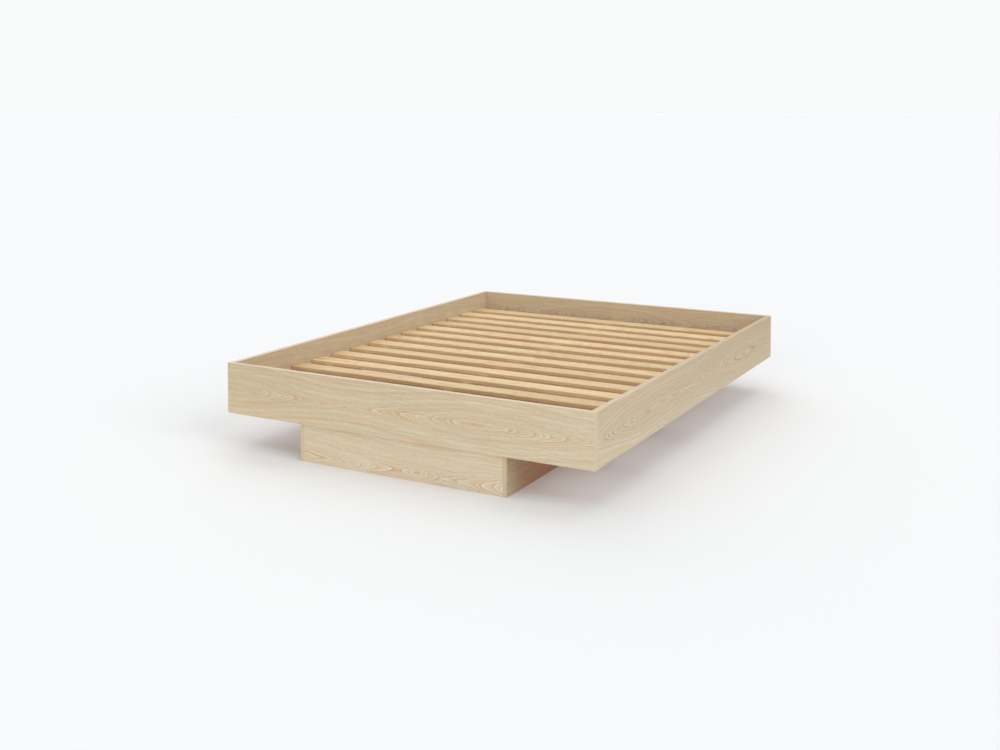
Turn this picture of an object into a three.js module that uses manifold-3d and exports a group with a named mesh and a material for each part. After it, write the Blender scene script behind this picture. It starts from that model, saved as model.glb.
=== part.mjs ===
// A platform bed frame: a box of four rails on a plinth that is set back from its edges, with a
// slatted deck inside for the mattress.
//
// Frame: millimetres, +Z up, origin on the floor under the middle of the bed. +Y points to the head
// end and +X to the right side. The bed is symmetrical about X = 0 and Y = 0.

import * as THREE from "three";
import { mergeVertices } from "three/addons/utils/BufferGeometryUtils.js";
import Module from "manifold-3d";

const wasm = await Module();
wasm.setup();

// ---------------------------------------------------------------------------------------------
// Driving dimensions, mm
// ---------------------------------------------------------------------------------------------

// The mattress, the room left round it, and how deep it sits below the rails' top edges.
const MATTRESS_WIDTH = 1530;
const MATTRESS_LENGTH = 2030;
const MATTRESS_CLEARANCE = 8;
const MATTRESS_RECESS = 80;

// Rails.
const RAIL_THICKNESS = 22;
const RAIL_HEIGHT = 200;

// Plinth: how high it lifts the rails, how far it stands back from the side rails' outer faces, and
// how much of each end rail's thickness lies on it.
const PLINTH_HEIGHT = 150;
const PLINTH_SIDE_INSET = 345;
const PLINTH_END_LAP = 2;
const PLINTH_BOARD = 16;
const PLINTH_BLOCK = 30;
const PLINTH_BLOCK_END_GAP = 5;
const DIVIDER_FLOOR_GAP = 3;
const DIVIDED_BEARERS = [2, 4];

// Bearers across the plinth, with the ledgers and the centre beam that lie on them.
const BEARER_COUNT = 5;
const BEARER_WIDTH = 45;
const BEARER_HEIGHT = 60;
const BEARER_END_GAP = 1;
const BEARER_BRACKET_GAP = 15;
const LEDGER_THICKNESS = 25;
const LEDGER_BRACKET_GAP = 3;
const BEAM_WIDTH = 40;

// Slats and the tapes under them.
const SLAT_COUNT = 14;
const SLAT_WIDTH = 75;
const SLAT_THICKNESS = 18;
const SLAT_EDGE_RADIUS = 3;
const SLAT_END_GAP = 3;
const TAPE_WIDTH = 25;
const TAPE_THICKNESS = 1.5;
const TAPE_LEDGER_GAP = 60;
const TAPE_END_INSET = 5;

// Steel shoes at the beam's ends.
const SHOE_SHEET = 2;
const SHOE_DEPTH = 35;
const SHOE_FLANGE = 18;
const SHOE_SIDE_PLAY = 0.5;
const SHOE_TOP_GAP = 6;

// Corner angles and their bolts.
const BRACKET_LEG = 45;
const BRACKET_THICKNESS = 3;
const BRACKET_RAIL_GAP = 6;
const BRACKET_SLAT_GAP = 2;
const BOLT_FROM_CORNER = 26;
const BOLT_FROM_BRACKET_END = 26;
const BOLT_RADIUS = 3;
const BOLT_REACH = 18;
const BOLT_HEAD_RADIUS = 6;
const BOLT_HEAD_HEIGHT = 3.5;
const BOLT_SOCKET_RADIUS = 2.3;
const BOLT_SOCKET_DEPTH = 2;

// Dowels from the side rails' ends into the end rails.
const DOWEL_RADIUS = 4;
const DOWEL_LENGTH = 40;
const DOWEL_IN_END_RAIL = 11;
const DOWEL_FROM_RAIL_EDGE = 25;
const DOWEL_CHAMFER = 1;

// Room left round a pin in its hole, and beyond its tip.
const HOLE_PLAY = 0.3;
const HOLE_TIP_GAP = 1;

// Segments round a drilled hole and a turned piece.
const ROUND_SEGMENTS = 16;

// Board faces are set out on this grid, so that faces that touch hold the same 32-bit number.
const GRID = 1 / 64;

// ---------------------------------------------------------------------------------------------
// Worked-out dimensions, mm
// ---------------------------------------------------------------------------------------------

const INNER_WIDTH = MATTRESS_WIDTH + 2 * MATTRESS_CLEARANCE;
const INNER_LENGTH = MATTRESS_LENGTH + 2 * MATTRESS_CLEARANCE;
const HALF_INNER_WIDTH = INNER_WIDTH / 2;
const HALF_INNER_LENGTH = INNER_LENGTH / 2;
const HALF_WIDTH = HALF_INNER_WIDTH + RAIL_THICKNESS;
const HALF_LENGTH = HALF_INNER_LENGTH + RAIL_THICKNESS;

// Heights above the rails' lower edge, which is the top of the plinth.
const SLAT_UNDERSIDE = RAIL_HEIGHT - MATTRESS_RECESS - SLAT_THICKNESS;
const BRACKET_HEIGHTS = [BRACKET_RAIL_GAP, SLAT_UNDERSIDE - BRACKET_SLAT_GAP];
const SIDE_BOLT_HEIGHT = BRACKET_HEIGHTS[1] - BOLT_FROM_BRACKET_END;
const END_BOLT_HEIGHT = BRACKET_HEIGHTS[0] + BOLT_FROM_BRACKET_END;
const DOWEL_HEIGHTS = {
  lower: DOWEL_FROM_RAIL_EDGE,
  upper: RAIL_HEIGHT - DOWEL_FROM_RAIL_EDGE,
};

// The plinth's outer faces.
const PLINTH_HALF_WIDTH = HALF_WIDTH - PLINTH_SIDE_INSET;
const PLINTH_HALF_LENGTH = HALF_INNER_LENGTH + PLINTH_END_LAP;
const PLINTH_INNER_HALF_WIDTH = PLINTH_HALF_WIDTH - PLINTH_BOARD;
const PLINTH_INNER_HALF_LENGTH = PLINTH_HALF_LENGTH - PLINTH_BOARD;

// Middle of each bearer and of each slat, along the bed.
const OUTER_BEARER =
  HALF_INNER_LENGTH - BRACKET_LEG - BEARER_BRACKET_GAP - BEARER_WIDTH / 2;
const BEARER_PLACES = evenly(-OUTER_BEARER, OUTER_BEARER, BEARER_COUNT);
const SLAT_GAP = (INNER_LENGTH - SLAT_COUNT * SLAT_WIDTH) / (SLAT_COUNT + 1);
const OUTER_SLAT = HALF_INNER_LENGTH - SLAT_GAP - SLAT_WIDTH / 2;
const SLAT_PLACES = evenly(-OUTER_SLAT, OUTER_SLAT, SLAT_COUNT);

const SIDES = { left: -1, right: 1 };
const ENDS = { foot: -1, head: 1 };

// ---------------------------------------------------------------------------------------------
// Finishes
// ---------------------------------------------------------------------------------------------

const oak = finish(0xcfbd9f, 0.55, 0);
const pine = finish(0xe0c697, 0.7, 0);
const beech = finish(0xd2a878, 0.65, 0);
const zinc = finish(0xb9bcbe, 0.38, 1);
const blackSteel = finish(0x2b2c2e, 0.45, 1);
const tapeWeave = finish(0xe9e6dc, 0.9, 0);

function finish(color, roughness, metalness) {
  return new THREE.MeshStandardMaterial({ color, roughness, metalness });
}

// ---------------------------------------------------------------------------------------------
// Tools
// ---------------------------------------------------------------------------------------------

/** count values from first to last, equally spaced. */
function evenly(first, last, count) {
  const step = (last - first) / (count - 1);
  return Array.from({ length: count }, (_, i) => first + i * step);
}

/** The nearest value on the grid, the same on both sides of the middle. */
function onGrid(value) {
  return Math.sign(value) * Math.round(Math.abs(value) / GRID) * GRID;
}

/** The range between two distances from the middle, on the side that sign gives. */
function toSide(sign, near, far) {
  return sign < 0 ? [-far, -near] : [near, far];
}

/** A box that fills the ranges x, y and z. */
function boxGeometry(x, y, z) {
  const lows = [x[0], y[0], z[0]].map(onGrid);
  const highs = [x[1], y[1], z[1]].map(onGrid);
  const sizes = highs.map((high, i) => high - lows[i]);
  const middles = highs.map((high, i) => (high + lows[i]) / 2);
  return new THREE.BoxGeometry(...sizes).translate(...middles);
}

/** A named mesh of a board that fills the ranges x, y and z, with its origin at its middle. */
function board(name, material, x, y, z) {
  const geometry = boxGeometry(x, y, z);
  geometry.computeBoundingBox();
  const middle = geometry.boundingBox.getCenter(new THREE.Vector3());
  geometry.translate(-middle.x, -middle.y, -middle.z);
  const mesh = new THREE.Mesh(geometry, material);
  mesh.name = name;
  mesh.position.copy(middle);
  return mesh;
}

/** A closed geometry as a solid that can be joined and cut. */
function solidOf(geometry) {
  const bare = geometry.clone();
  bare.deleteAttribute("normal");
  bare.deleteAttribute("uv");
  const merged = mergeVertices(bare);
  return new wasm.Manifold(
    new wasm.Mesh({
      numProp: 3,
      vertProperties: merged.attributes.position.array,
      triVerts: new Uint32Array(merged.index.array),
    }),
  );
}

/** A joined or cut solid as a geometry with flat faces. */
function geometryOf(solid) {
  const { vertProperties, triVerts } = solid.getMesh();
  const geometry = new THREE.BufferGeometry();
  geometry.setAttribute("position", new THREE.BufferAttribute(vertProperties, 3));
  geometry.setIndex(new THREE.BufferAttribute(triVerts, 1));
  const faceted = geometry.toNonIndexed();
  faceted.computeVertexNormals();
  return faceted;
}

/** Turns a geometry made along +Y so that it points along axis, which is +X, -X, +Y or -Y. */
function pointAlong(geometry, axis) {
  const turn = new THREE.Quaternion();
  turn.setFromUnitVectors(new THREE.Vector3(0, 1, 0), axis);
  return geometry.applyQuaternion(turn);
}

/** The drill for a blind hole: it starts a little outside the mouth and goes depth along axis. */
function drill(mouth, axis, radius, depth) {
  const runIn = 1;
  const geometry = new THREE.CylinderGeometry(radius, radius, depth + runIn, ROUND_SEGMENTS);
  geometry.translate(0, (depth - runIn) / 2, 0);
  pointAlong(geometry, axis);
  return geometry.translate(mouth.x, mouth.y, mouth.z);
}

/** Cuts drills, given in the mesh's parent group, out of a mesh. */
function cutOut(mesh, drills) {
  let solid = solidOf(mesh.geometry);
  for (const geometry of drills) {
    const { x, y, z } = mesh.position;
    solid = solid.subtract(solidOf(geometry.clone().translate(-x, -y, -z)));
  }
  mesh.geometry = geometryOf(solid);
  return mesh;
}

/** A named mesh of several boxes joined into one piece, less some drills. */
function joined(name, material, boxes, drills = []) {
  let solid = solidOf(boxes[0]);
  for (const box of boxes.slice(1)) solid = solid.add(solidOf(box));
  for (const geometry of drills) solid = solid.subtract(solidOf(geometry));
  const mesh = new THREE.Mesh(geometryOf(solid), material);
  mesh.name = name;
  return mesh;
}

// ---------------------------------------------------------------------------------------------
// Corner joints: every place and direction is shared by the pin and by the holes it goes through
// ---------------------------------------------------------------------------------------------

const CORNERS = [];
for (const [end, endSign] of Object.entries(ENDS)) {
  for (const [side, sideSign] of Object.entries(SIDES)) {
    const outAlongX = new THREE.Vector3(sideSign, 0, 0);
    const outAlongY = new THREE.Vector3(0, endSign, 0);
    CORNERS.push({
      name: `${end}_${side}`,
      end,
      side,
      endSign,
      sideSign,
      outAlongX,
      outAlongY,
      sideBolt: new THREE.Vector3(
        sideSign * HALF_INNER_WIDTH,
        endSign * (HALF_INNER_LENGTH - BOLT_FROM_CORNER),
        SIDE_BOLT_HEIGHT,
      ),
      endBolt: new THREE.Vector3(
        sideSign * (HALF_INNER_WIDTH - BOLT_FROM_CORNER),
        endSign * HALF_INNER_LENGTH,
        END_BOLT_HEIGHT,
      ),
      dowels: Object.entries(DOWEL_HEIGHTS).map(([level, height]) => ({
        level,
        mouth: new THREE.Vector3(
          sideSign * (HALF_INNER_WIDTH + RAIL_THICKNESS / 2),
          endSign * HALF_INNER_LENGTH,
          height,
        ),
      })),
    });
  }
}

/** The drill for a corner bolt, from the rail's inner face into the rail. */
function boltDrill(mouth, axis) {
  const reachInRail = BOLT_REACH - BRACKET_THICKNESS;
  return drill(mouth, axis, BOLT_RADIUS + HOLE_PLAY, reachInRail + HOLE_TIP_GAP);
}

/** The drill for the part of a dowel that lies depth along axis from the joint. */
function dowelDrill(mouth, axis, depth) {
  return drill(mouth, axis, DOWEL_RADIUS + HOLE_PLAY, depth + HOLE_TIP_GAP);
}

// ---------------------------------------------------------------------------------------------
// Rail box, with its origin at the rails' lower edge
// ---------------------------------------------------------------------------------------------

const railBox = new THREE.Group();
railBox.position.z = onGrid(PLINTH_HEIGHT);

function endRail(end, sign) {
  const drills = CORNERS.filter((corner) => corner.end === end).flatMap((corner) => [
    boltDrill(corner.endBolt, corner.outAlongY),
    ...corner.dowels.map(({ mouth }) => dowelDrill(mouth, corner.outAlongY, DOWEL_IN_END_RAIL)),
  ]);
  const rail = board(
    `${end}_rail`,
    oak,
    [-HALF_WIDTH, HALF_WIDTH],
    toSide(sign, HALF_INNER_LENGTH, HALF_LENGTH),
    [0, RAIL_HEIGHT],
  );
  return cutOut(rail, drills);
}

function sideRail(side, sign) {
  const depth = DOWEL_LENGTH - DOWEL_IN_END_RAIL;
  const drills = CORNERS.filter((corner) => corner.side === side).flatMap((corner) => [
    boltDrill(corner.sideBolt, corner.outAlongX),
    ...corner.dowels.map(({ mouth }) =>
      dowelDrill(mouth, corner.outAlongY.clone().negate(), depth),
    ),
  ]);
  const rail = board(
    `side_rail_${side}`,
    oak,
    toSide(sign, HALF_INNER_WIDTH, HALF_WIDTH),
    [-HALF_INNER_LENGTH, HALF_INNER_LENGTH],
    [0, RAIL_HEIGHT],
  );
  return cutOut(rail, drills);
}

function dowel(name, mouth, endSign) {
  const half = DOWEL_LENGTH / 2;
  const profile = [
    [0, -half],
    [DOWEL_RADIUS - DOWEL_CHAMFER, -half],
    [DOWEL_RADIUS, DOWEL_CHAMFER - half],
    [DOWEL_RADIUS, half - DOWEL_CHAMFER],
    [DOWEL_RADIUS - DOWEL_CHAMFER, half],
    [0, half],
  ].map(([radius, along]) => new THREE.Vector2(radius, along));
  const mesh = new THREE.Mesh(new THREE.LatheGeometry(profile, ROUND_SEGMENTS), beech);
  mesh.name = name;
  mesh.position.copy(mouth);
  mesh.position.y += endSign * (DOWEL_IN_END_RAIL - half);
  return mesh;
}

for (const [end, sign] of Object.entries(ENDS)) railBox.add(endRail(end, sign));
for (const [side, sign] of Object.entries(SIDES)) railBox.add(sideRail(side, sign));
for (const corner of CORNERS) {
  for (const { level, mouth } of corner.dowels) {
    railBox.add(dowel(`dowel_${corner.name}_${level}`, mouth, corner.endSign));
  }
}

// ---------------------------------------------------------------------------------------------
// Corner angles and bolts
// ---------------------------------------------------------------------------------------------

function cornerBracket(corner) {
  const { sideSign, endSign } = corner;
  const sideLeg = boxGeometry(
    toSide(sideSign, HALF_INNER_WIDTH - BRACKET_THICKNESS, HALF_INNER_WIDTH),
    toSide(endSign, HALF_INNER_LENGTH - BRACKET_LEG, HALF_INNER_LENGTH),
    BRACKET_HEIGHTS,
  );
  const endLeg = boxGeometry(
    toSide(sideSign, HALF_INNER_WIDTH - BRACKET_LEG, HALF_INNER_WIDTH),
    toSide(endSign, HALF_INNER_LENGTH - BRACKET_THICKNESS, HALF_INNER_LENGTH),
    BRACKET_HEIGHTS,
  );
  const backOff = (place, axis) => place.clone().addScaledVector(axis, -BRACKET_THICKNESS);
  return joined(
    `corner_bracket_${corner.name}`,
    zinc,
    [sideLeg, endLeg],
    [
      boltDrill(backOff(corner.sideBolt, corner.outAlongX), corner.outAlongX),
      boltDrill(backOff(corner.endBolt, corner.outAlongY), corner.outAlongY),
    ],
  );
}

/** A button-head bolt whose head rests on the bracket and whose shank points along axis. */
function cornerBolt(name, place, axis) {
  const dome = [0.55, 0.8, 0.95].map((share) => {
    const height = BOLT_HEAD_HEIGHT * Math.sqrt(1 - share ** 2);
    return [BOLT_HEAD_RADIUS * share, -height];
  });
  const profile = [
    [0, dome[0][1]],
    ...dome,
    [BOLT_HEAD_RADIUS, 0],
    [BOLT_RADIUS, 0],
    [BOLT_RADIUS, BOLT_REACH - 1],
    [BOLT_RADIUS - 1, BOLT_REACH],
    [0, BOLT_REACH],
  ].map(([radius, along]) => new THREE.Vector2(radius, along));
  const turned = new THREE.LatheGeometry(profile, ROUND_SEGMENTS);
  const socket = new THREE.CylinderGeometry(
    BOLT_SOCKET_RADIUS,
    BOLT_SOCKET_RADIUS,
    2 * BOLT_SOCKET_DEPTH,
    6,
  ).translate(0, dome[0][1], 0);
  const mesh = joined(name, blackSteel, [turned], [socket]);
  mesh.quaternion.setFromUnitVectors(new THREE.Vector3(0, 1, 0), axis);
  const seat = place.clone().addScaledVector(axis, -BRACKET_THICKNESS);
  mesh.position.set(...seat.toArray().map(onGrid));
  return mesh;
}

for (const corner of CORNERS) {
  railBox.add(cornerBracket(corner));
  railBox.add(cornerBolt(`side_bolt_${corner.name}`, corner.sideBolt, corner.outAlongX));
  railBox.add(cornerBolt(`end_bolt_${corner.name}`, corner.endBolt, corner.outAlongY));
}

// ---------------------------------------------------------------------------------------------
// Bearers, ledgers and centre beam, in the rail box's group
// ---------------------------------------------------------------------------------------------

function crossBearer(number, middle) {
  const halfLength = HALF_INNER_WIDTH - BEARER_END_GAP;
  return board(
    `cross_bearer_${number}`,
    pine,
    [-halfLength, halfLength],
    [middle - BEARER_WIDTH / 2, middle + BEARER_WIDTH / 2],
    [0, BEARER_HEIGHT],
  );
}

function ledger(side, sign) {
  const halfLength = HALF_INNER_LENGTH - BRACKET_LEG - LEDGER_BRACKET_GAP;
  return board(
    `ledger_${side}`,
    pine,
    toSide(sign, HALF_INNER_WIDTH - LEDGER_THICKNESS, HALF_INNER_WIDTH),
    [-halfLength, halfLength],
    [BEARER_HEIGHT, SLAT_UNDERSIDE],
  );
}

function centreBeam() {
  const halfLength = HALF_INNER_LENGTH - SHOE_SHEET - SHOE_SIDE_PLAY;
  return board(
    "centre_beam",
    pine,
    [-BEAM_WIDTH / 2, BEAM_WIDTH / 2],
    [-halfLength, halfLength],
    [BEARER_HEIGHT, SLAT_UNDERSIDE],
  );
}

/** The folded shoe that holds one end of the beam: a back plate, a seat and two cheeks. */
function beamShoe(end, sign) {
  const cheekIn = BEAM_WIDTH / 2 + SHOE_SIDE_PLAY;
  const cheekOut = cheekIn + SHOE_SHEET;
  const backOut = cheekOut + SHOE_FLANGE;
  const heights = [BEARER_HEIGHT - SHOE_SHEET, SLAT_UNDERSIDE - SHOE_TOP_GAP];
  const alongBed = toSide(sign, HALF_INNER_LENGTH - SHOE_DEPTH, HALF_INNER_LENGTH);
  const inSheet = toSide(sign, HALF_INNER_LENGTH - SHOE_SHEET, HALF_INNER_LENGTH);
  return joined(`beam_shoe_${end}`, zinc, [
    boxGeometry([-backOut, backOut], inSheet, heights),
    boxGeometry([-cheekOut, cheekOut], alongBed, [heights[0], BEARER_HEIGHT]),
    boxGeometry([-cheekOut, -cheekIn], alongBed, heights),
    boxGeometry([cheekIn, cheekOut], alongBed, heights),
  ]);
}

BEARER_PLACES.forEach((middle, i) => railBox.add(crossBearer(i + 1, middle)));
for (const [side, sign] of Object.entries(SIDES)) railBox.add(ledger(side, sign));
railBox.add(centreBeam());
for (const [end, sign] of Object.entries(ENDS)) railBox.add(beamShoe(end, sign));

// ---------------------------------------------------------------------------------------------
// Slatted deck, with its origin at the slats' underside
// ---------------------------------------------------------------------------------------------

const deck = new THREE.Group();
deck.position.z = onGrid(PLINTH_HEIGHT + SLAT_UNDERSIDE);

/** A slat's section, centred on its width, with its underside at 0 and its edges rounded. */
function slatSection() {
  const half = onGrid(SLAT_WIDTH / 2);
  const high = onGrid(SLAT_THICKNESS);
  const r = SLAT_EDGE_RADIUS;
  const section = new THREE.Shape();
  section.moveTo(-half + r, 0);
  section.absarc(half - r, r, r, -Math.PI / 2, 0);
  section.absarc(half - r, high - r, r, 0, Math.PI / 2);
  section.absarc(-half + r, high - r, r, Math.PI / 2, Math.PI);
  section.absarc(-half + r, r, r, Math.PI, 1.5 * Math.PI);
  return section;
}

function slat(number, middle) {
  const length = INNER_WIDTH - 2 * SLAT_END_GAP;
  const geometry = new THREE.ExtrudeGeometry(slatSection(), {
    depth: length,
    curveSegments: 4,
    bevelEnabled: false,
  });
  geometry.translate(0, 0, -length / 2);
  const mesh = new THREE.Mesh(geometry, pine);
  mesh.name = `slat_${String(number).padStart(2, "0")}`;
  // The section is drawn across the bed's length and upwards, and extruded across its width.
  mesh.quaternion.set(0.5, 0.5, 0.5, 0.5);
  mesh.position.y = onGrid(middle);
  return mesh;
}

function slatTape(side, sign) {
  const outer = HALF_INNER_WIDTH - LEDGER_THICKNESS - TAPE_LEDGER_GAP;
  const halfLength = OUTER_SLAT + SLAT_WIDTH / 2 - TAPE_END_INSET;
  return board(
    `slat_tape_${side}`,
    tapeWeave,
    toSide(sign, outer - TAPE_WIDTH, outer),
    [-halfLength, halfLength],
    [-TAPE_THICKNESS, 0],
  );
}

SLAT_PLACES.forEach((middle, i) => deck.add(slat(i + 1, middle)));
for (const [side, sign] of Object.entries(SIDES)) deck.add(slatTape(side, sign));

// ---------------------------------------------------------------------------------------------
// Plinth, with its origin on the floor
// ---------------------------------------------------------------------------------------------

const plinth = new THREE.Group();

function plinthSide(side, sign) {
  return board(
    `plinth_side_${side}`,
    oak,
    toSide(sign, PLINTH_INNER_HALF_WIDTH, PLINTH_HALF_WIDTH),
    [-PLINTH_HALF_LENGTH, PLINTH_HALF_LENGTH],
    [0, PLINTH_HEIGHT],
  );
}

function plinthEnd(name, sign) {
  return board(
    name,
    oak,
    [-PLINTH_INNER_HALF_WIDTH, PLINTH_INNER_HALF_WIDTH],
    toSide(sign, PLINTH_INNER_HALF_LENGTH, PLINTH_HALF_LENGTH),
    [0, PLINTH_HEIGHT],
  );
}

function plinthDivider(number, middle) {
  return board(
    `plinth_divider_${number}`,
    pine,
    [-PLINTH_INNER_HALF_WIDTH, PLINTH_INNER_HALF_WIDTH],
    [middle - PLINTH_BOARD / 2, middle + PLINTH_BOARD / 2],
    [DIVIDER_FLOOR_GAP, PLINTH_HEIGHT],
  );
}

function plinthBlock(corner) {
  const acrossBlock = [PLINTH_INNER_HALF_WIDTH - PLINTH_BLOCK, PLINTH_INNER_HALF_WIDTH];
  const alongBlock = [PLINTH_INNER_HALF_LENGTH - PLINTH_BLOCK, PLINTH_INNER_HALF_LENGTH];
  return board(
    `plinth_block_${corner.name}`,
    pine,
    toSide(corner.sideSign, ...acrossBlock),
    toSide(corner.endSign, ...alongBlock),
    [PLINTH_BLOCK_END_GAP, PLINTH_HEIGHT - PLINTH_BLOCK_END_GAP],
  );
}

for (const [side, sign] of Object.entries(SIDES)) plinth.add(plinthSide(side, sign));
plinth.add(plinthEnd("plinth_front", ENDS.foot));
plinth.add(plinthEnd("plinth_back", ENDS.head));
DIVIDED_BEARERS.forEach((bearer, i) => {
  plinth.add(plinthDivider(i + 1, BEARER_PLACES[bearer - 1]));
});
for (const corner of CORNERS) plinth.add(plinthBlock(corner));

// ---------------------------------------------------------------------------------------------

const bed = new THREE.Group();
bed.add(plinth, railBox, deck);

export default bed;
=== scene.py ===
"""A low platform bed frame in pale oak veneer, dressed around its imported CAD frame.

Each sub-assembly is a class that builds its pieces and dresses them. Lengths are in metres, in the
CAD frame: +Z up, +Y to the head end, +X to the right, origin on the floor under the bed's middle.
"""

import logging
import math
from collections.abc import Iterable, Sequence
from dataclasses import dataclass, field
from enum import Enum
from functools import reduce
from typing import Any

import bmesh
import bpy
import numpy as np
from bpy.types import Material, Mesh, Node, NodeSocket, NodeTree, Object
from mathutils import Matrix, Vector


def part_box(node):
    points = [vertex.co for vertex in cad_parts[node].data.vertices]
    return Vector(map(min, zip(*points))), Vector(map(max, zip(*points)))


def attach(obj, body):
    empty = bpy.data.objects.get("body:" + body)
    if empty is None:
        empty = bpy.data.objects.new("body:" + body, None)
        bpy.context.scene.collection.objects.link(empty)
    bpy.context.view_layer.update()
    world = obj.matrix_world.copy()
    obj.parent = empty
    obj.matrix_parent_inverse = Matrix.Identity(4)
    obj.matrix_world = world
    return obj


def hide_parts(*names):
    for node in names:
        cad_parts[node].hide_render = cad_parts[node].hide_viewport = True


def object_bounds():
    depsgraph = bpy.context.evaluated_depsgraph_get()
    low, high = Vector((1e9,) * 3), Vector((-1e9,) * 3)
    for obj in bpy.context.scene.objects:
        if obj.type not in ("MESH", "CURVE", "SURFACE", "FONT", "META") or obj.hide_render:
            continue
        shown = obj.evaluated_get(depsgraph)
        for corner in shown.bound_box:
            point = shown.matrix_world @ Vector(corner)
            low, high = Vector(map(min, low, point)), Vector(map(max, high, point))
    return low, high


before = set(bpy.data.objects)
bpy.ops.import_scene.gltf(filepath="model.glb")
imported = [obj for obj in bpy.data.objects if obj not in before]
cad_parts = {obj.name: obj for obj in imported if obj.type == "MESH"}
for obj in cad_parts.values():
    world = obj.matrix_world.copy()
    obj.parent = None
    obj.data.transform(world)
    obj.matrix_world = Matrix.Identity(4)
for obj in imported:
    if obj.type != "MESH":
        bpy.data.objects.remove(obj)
CAD_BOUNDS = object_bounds()
NODES: dict[str, Object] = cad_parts

log = logging.getLogger("platform_bed")

MM = 0.001
BRACKET_SHEET = 3 * MM
SHOE_SHEET = 2 * MM
WHITE = (1.0, 1.0, 1.0, 1.0)
Stops = Sequence[tuple[float, str]]


class Slot(Enum):
    """The material slots."""

    OAK = "oak_veneer"
    PINE = "pine"
    BEECH = "beech"
    ZINC = "zinc_steel"
    BLACK = "black_steel"
    TAPE = "tape_weave"


class Side(Enum):
    """The bed's sides, with the sign of X."""

    LEFT = -1
    RIGHT = 1


class End(Enum):
    """The bed's ends, with the sign of Y."""

    FOOT = -1
    HEAD = 1


Paints = dict[Slot, Material]
SIDES = [(side, side.name.lower()) for side in Side]
ENDS = [(end, end.name.lower()) for end in End]
CORNERS = [(end, side, f"{end_name}_{side_name}") for end, end_name in ENDS for side, side_name in SIDES]


# Node trees


def tint(code: str) -> tuple[float, float, float, float]:
    """Turns a hex colour code into the linear colour that a shader takes.

    Args:
        code: Six hex digits.

    Returns:
        Red, green and blue from 0 to 1, linear, and an alpha of 1.
    """
    shares = [int(code[i : i + 2], 16) / 255 for i in (0, 2, 4)]
    linear = [s / 12.92 if s <= 0.04045 else ((s + 0.055) / 1.055) ** 2.4 for s in shares]
    return (*linear, 1.0)


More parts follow.
